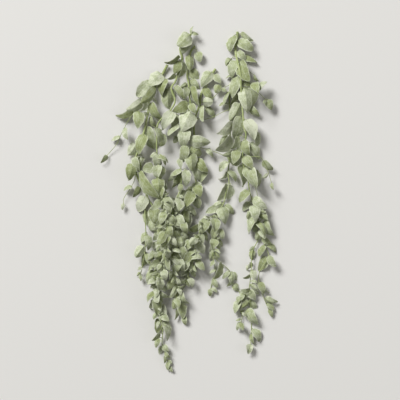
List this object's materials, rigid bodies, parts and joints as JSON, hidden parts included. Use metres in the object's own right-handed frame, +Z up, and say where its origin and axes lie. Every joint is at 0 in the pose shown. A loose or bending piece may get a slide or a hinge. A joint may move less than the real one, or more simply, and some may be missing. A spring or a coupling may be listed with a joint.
{
  "type": "trailing broom creeper stems",
  "caption": "Bunch of cut, leafy trailing climber stems with soft pale sage-green leaves, lying on a surface as they hung.",
  "frame": {"origin": "on the surface that the bunch lies on, under the middle of its outline", "axes": "+Z up from the surface; +Y up the stems, towards their cut ends; +X across the bunch, to the right of a viewer who looks down with the cut ends at the top"},
  "size_m": [0.4573, 0.898, 0.079],
  "materials": {
    "left_leafy_stem": "matte",
    "inner_leafy_stem": "matte",
    "middle_leafy_stem": "matte",
    "short_leafy_stem": "matte",
    "right_leafy_stem": "matte"
  },
  "bodies": {
    "root": {"left_vine": "left_leafy_stem", "inner_vine": "inner_leafy_stem", "middle_vine": "middle_leafy_stem", "short_vine": "short_leafy_stem", "right_vine": "right_leafy_stem"}
  },
  "joints": []
}
